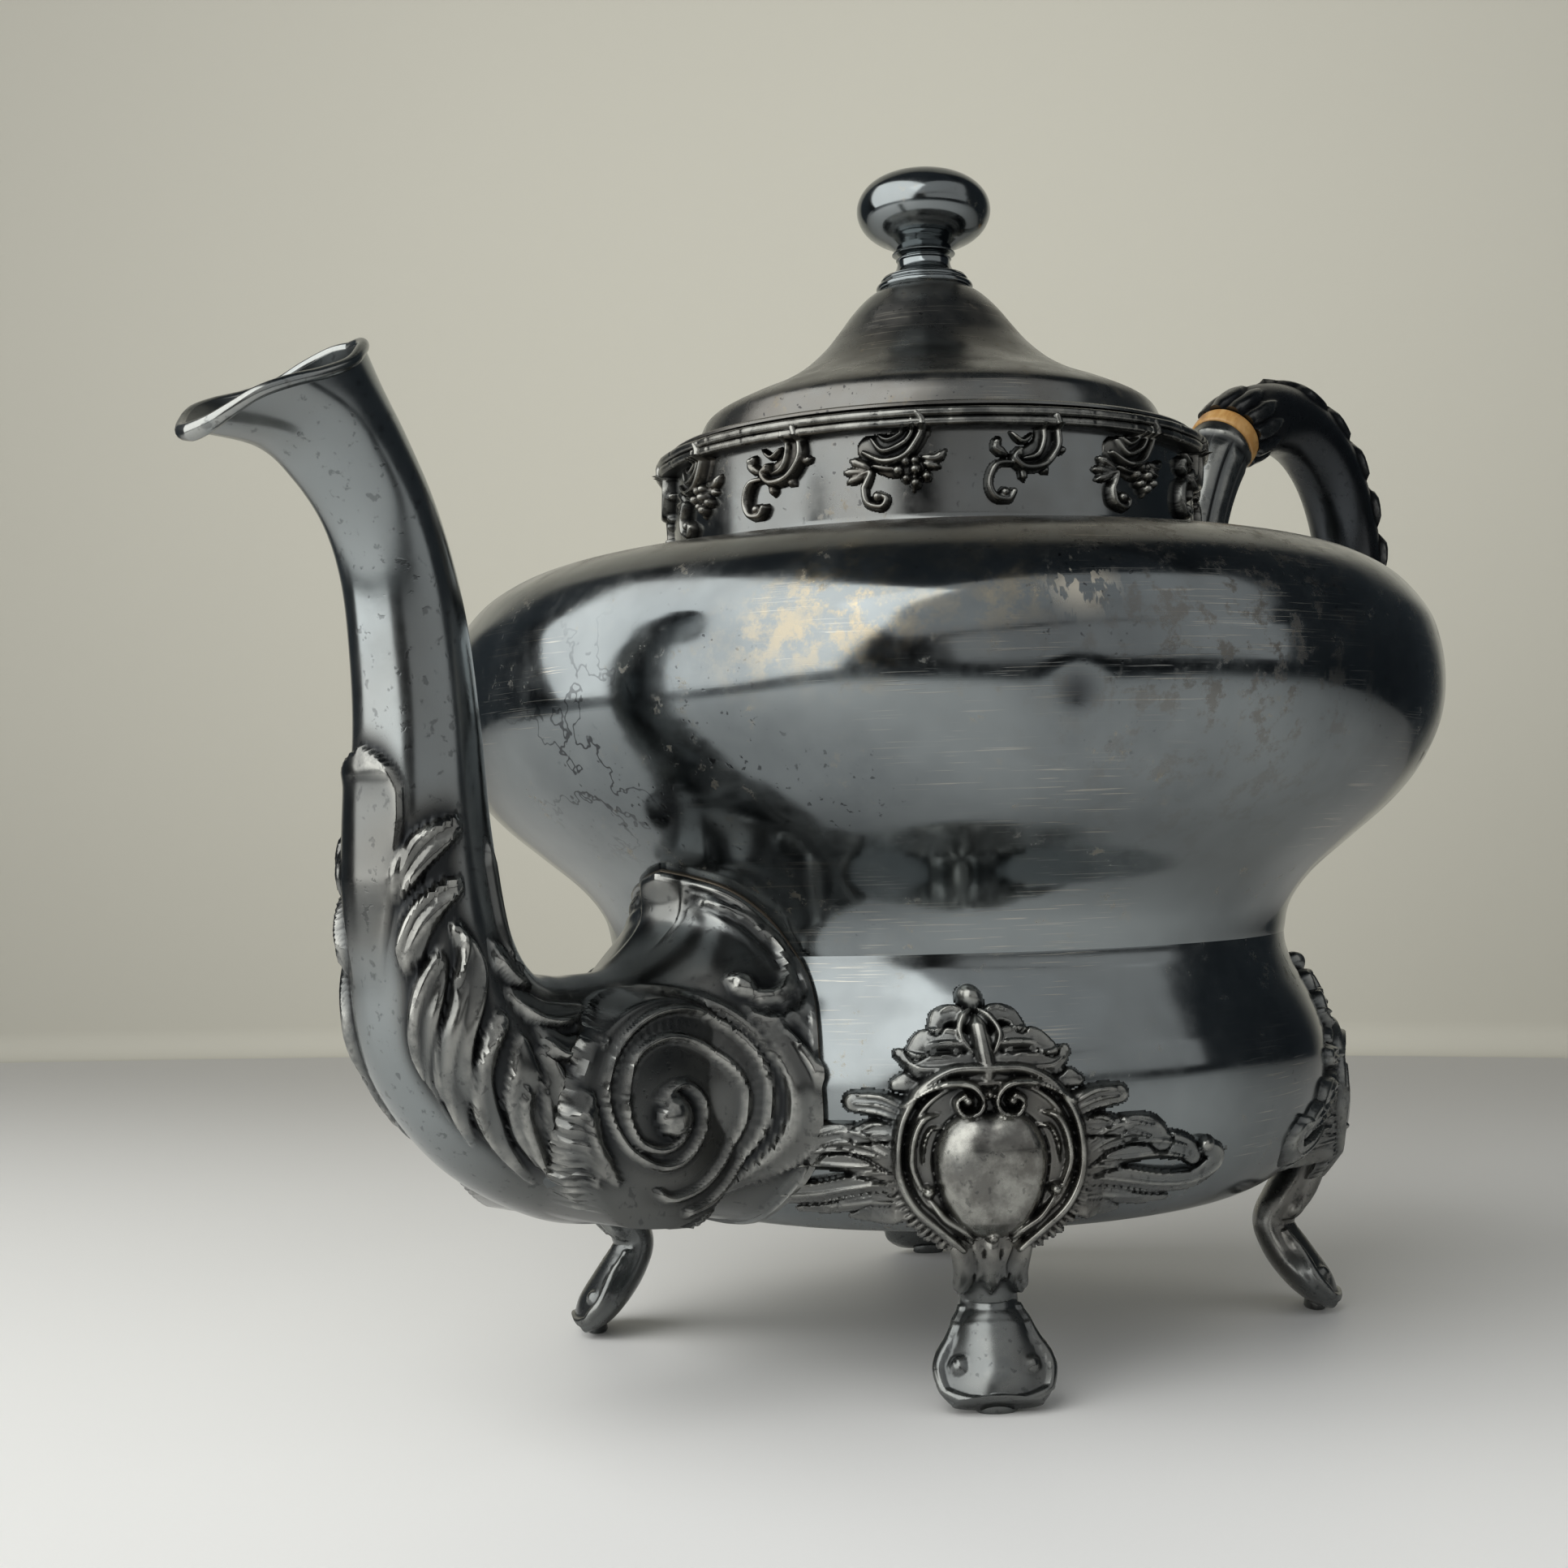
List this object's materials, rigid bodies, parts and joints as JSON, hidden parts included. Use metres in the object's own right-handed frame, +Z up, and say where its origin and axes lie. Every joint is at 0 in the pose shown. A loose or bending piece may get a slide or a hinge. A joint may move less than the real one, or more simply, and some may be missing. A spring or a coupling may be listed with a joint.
{
  "type": "teapot",
  "caption": "Tarnished silver-plated teapot with a bulged two-tier body, swan-neck spout, hinged domed lid, scroll feet and an insulated C-handle.",
  "frame": {"origin": "on the table plane, midway between the reach of the spout and of the handle, on the pot's axis within 2 mm", "axes": "+Z up; -X along the spout, +X along the handle; Y across"},
  "size_m": [0.2959, 0.1698, 0.2],
  "materials": {
    "silver": "tarnished silver plate, worn polish",
    "silver_ornament": "dark oxidised silver plate with rubbed highs",
    "bone": "aged bone, satin"
  },
  "bodies": {
    "pot": {"upper_body": "silver", "lower_body": "silver", "base_plate": "silver", "collar": "silver", "rim_moulding": "silver_ornament", "border_flower_sprays": "silver_ornament", "border_leaf_scrolls": "silver_ornament", "hinge_collar_leaf": "silver", "hinge_pin": "silver", "spout": "silver", "handle_upper_socket": "silver_ornament", "upper_insulator": "bone", "handle_grip": "silver_ornament", "lower_insulator": "bone", "handle_lower_socket": "silver_ornament", "upper_handle_pins": "silver", "lower_handle_pins": "silver", "foot_front_left": "silver_ornament", "foot_front_right": "silver_ornament", "foot_rear_left": "silver_ornament", "foot_rear_right": "silver_ornament"},
    "lid": {"lid_dome": "silver", "lid_bezel": "silver", "finial_foot": "silver", "finial_knob": "silver", "finial_nut": "silver", "hinge_lid_leaf": "silver"}
  },
  "joints": [
    {"name": "lid_hinge", "type": "hinge", "parent": "pot", "child": "lid", "pos_m": [0.0485, 0, 0.1516], "axis": [0, 1, 0], "range_deg": [0, 95]}
  ]
}
